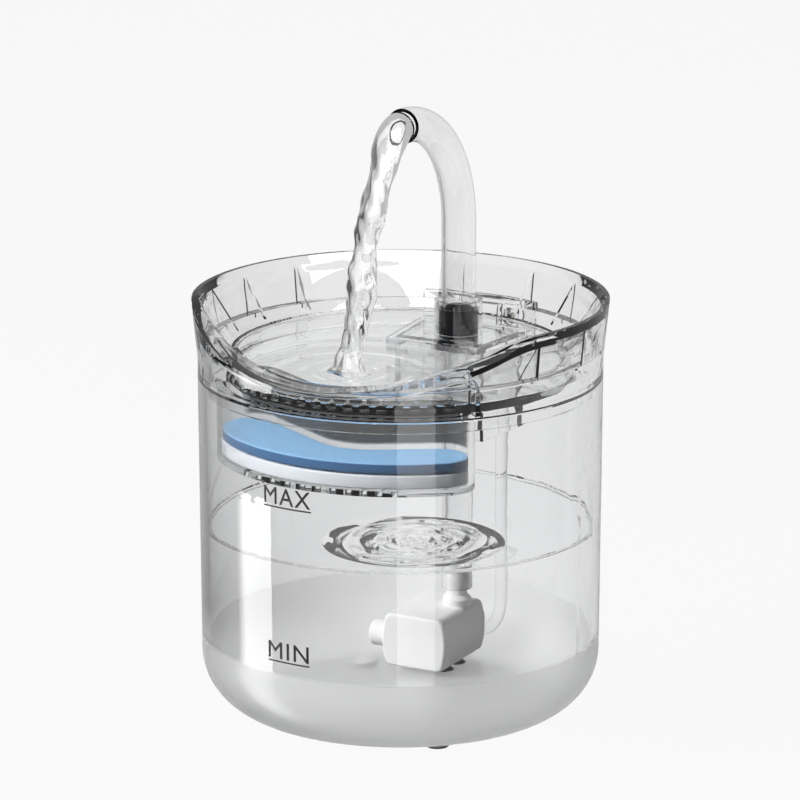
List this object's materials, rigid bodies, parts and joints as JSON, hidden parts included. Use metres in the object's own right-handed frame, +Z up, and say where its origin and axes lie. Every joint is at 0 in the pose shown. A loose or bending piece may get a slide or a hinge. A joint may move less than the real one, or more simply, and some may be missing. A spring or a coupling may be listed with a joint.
{
  "type": "pet water fountain",
  "caption": "Clear pet drinking fountain: a tank under a lipped dish, a gooseneck spout fed by a submerged pump, and a hanging filter box that the dish drains through.",
  "frame": {"origin": "on the tank's axis at the underside of the feet", "axes": "+Z up; the low drinking lip faces -Y and the faucet stands at +Y"},
  "size_m": [0.1564, 0.1545, 0.2326],
  "materials": {
    "clear_shell": "clear polished plastic",
    "clear_tube": "clear polished plastic",
    "clear_soft": "clear flexible plastic",
    "dark_rubber": "matt",
    "black_seal": "satin",
    "white_plastic": "gloss",
    "white_wool": "soft fibre",
    "blue_sponge": "open-cell foam",
    "black_sponge": "open-cell foam",
    "ceramic": "polished ceramic",
    "magnet": "sintered",
    "electrical_steel": "laminated",
    "copper": "enamelled wire",
    "board": "coated laminate",
    "black_plastic": "satin",
    "contact": "plated"
  },
  "bodies": {
    "tank": {"tank": "clear_shell", "tank_feet": "dark_rubber"},
    "tray": {"drinking_tray": "clear_shell", "power_jack": "black_plastic", "jack_pin": "contact", "riser_hose": "clear_soft", "pump_lead": "clear_soft", "lead_gland": "white_plastic", "pump_housing": "white_plastic", "intake_plate": "white_plastic", "impeller_shaft": "ceramic", "shaft_bushes": "black_plastic", "stator_core": "electrical_steel", "stator_coils": "copper", "driver_board": "board", "pump_back_plate": "white_plastic", "outlet_nozzle": "white_plastic", "suction_cups": "clear_soft"},
    "faucet_sleeve": {"faucet_seal": "black_seal"},
    "faucet": {"faucet_tube": "clear_tube"},
    "filter_case": {"filter_box": "clear_shell"},
    "filter_pads": {"filter_cotton": "white_wool", "filter_sponge": "blue_sponge"},
    "pump_cover": {"pump_front_cover": "white_plastic", "prefilter_sponge": "black_sponge"},
    "rotor": {"impeller": "white_plastic", "rotor_magnet": "magnet"},
    "knob": {"flow_knob": "white_plastic"}
  },
  "joints": [
    {"name": "tray_lift", "type": "slide", "parent": "tank", "child": "tray", "axis": [0, 0, 1], "range_m": [0, 0.14]},
    {"name": "faucet_pull", "type": "slide", "parent": "tray", "child": "faucet_sleeve", "axis": [0, 0, 1], "range_m": [0, 0.03]},
    {"name": "faucet_swivel", "type": "hinge", "parent": "faucet_sleeve", "child": "faucet", "pos_m": [0, 0.0472, 0.14], "axis": [0, 0, 1], "range_deg": [-60, 60]},
    {"name": "filter_box_drop", "type": "slide", "parent": "tray", "child": "filter_case", "axis": [0, 0, -1], "range_m": [0, 0.03]},
    {"name": "filter_pads_lift", "type": "slide", "parent": "filter_case", "child": "filter_pads", "axis": [0, 0, 1], "range_m": [0, 0.012]},
    {"name": "pump_cover_pull", "type": "slide", "parent": "tray", "child": "pump_cover", "axis": [0, -1, 0], "range_m": [0, 0.03]},
    {"name": "impeller_spin", "type": "hinge", "parent": "tray", "child": "rotor", "pos_m": [-0.007, 0.047, 0.0185], "axis": [0, 1, 0], "continuous": true},
    {"name": "flow_knob_turn", "type": "hinge", "parent": "tray", "child": "knob", "pos_m": [-0.021, 0.03, 0.0185], "axis": [-1, 0, 0], "range_deg": [0, 90]}
  ]
}
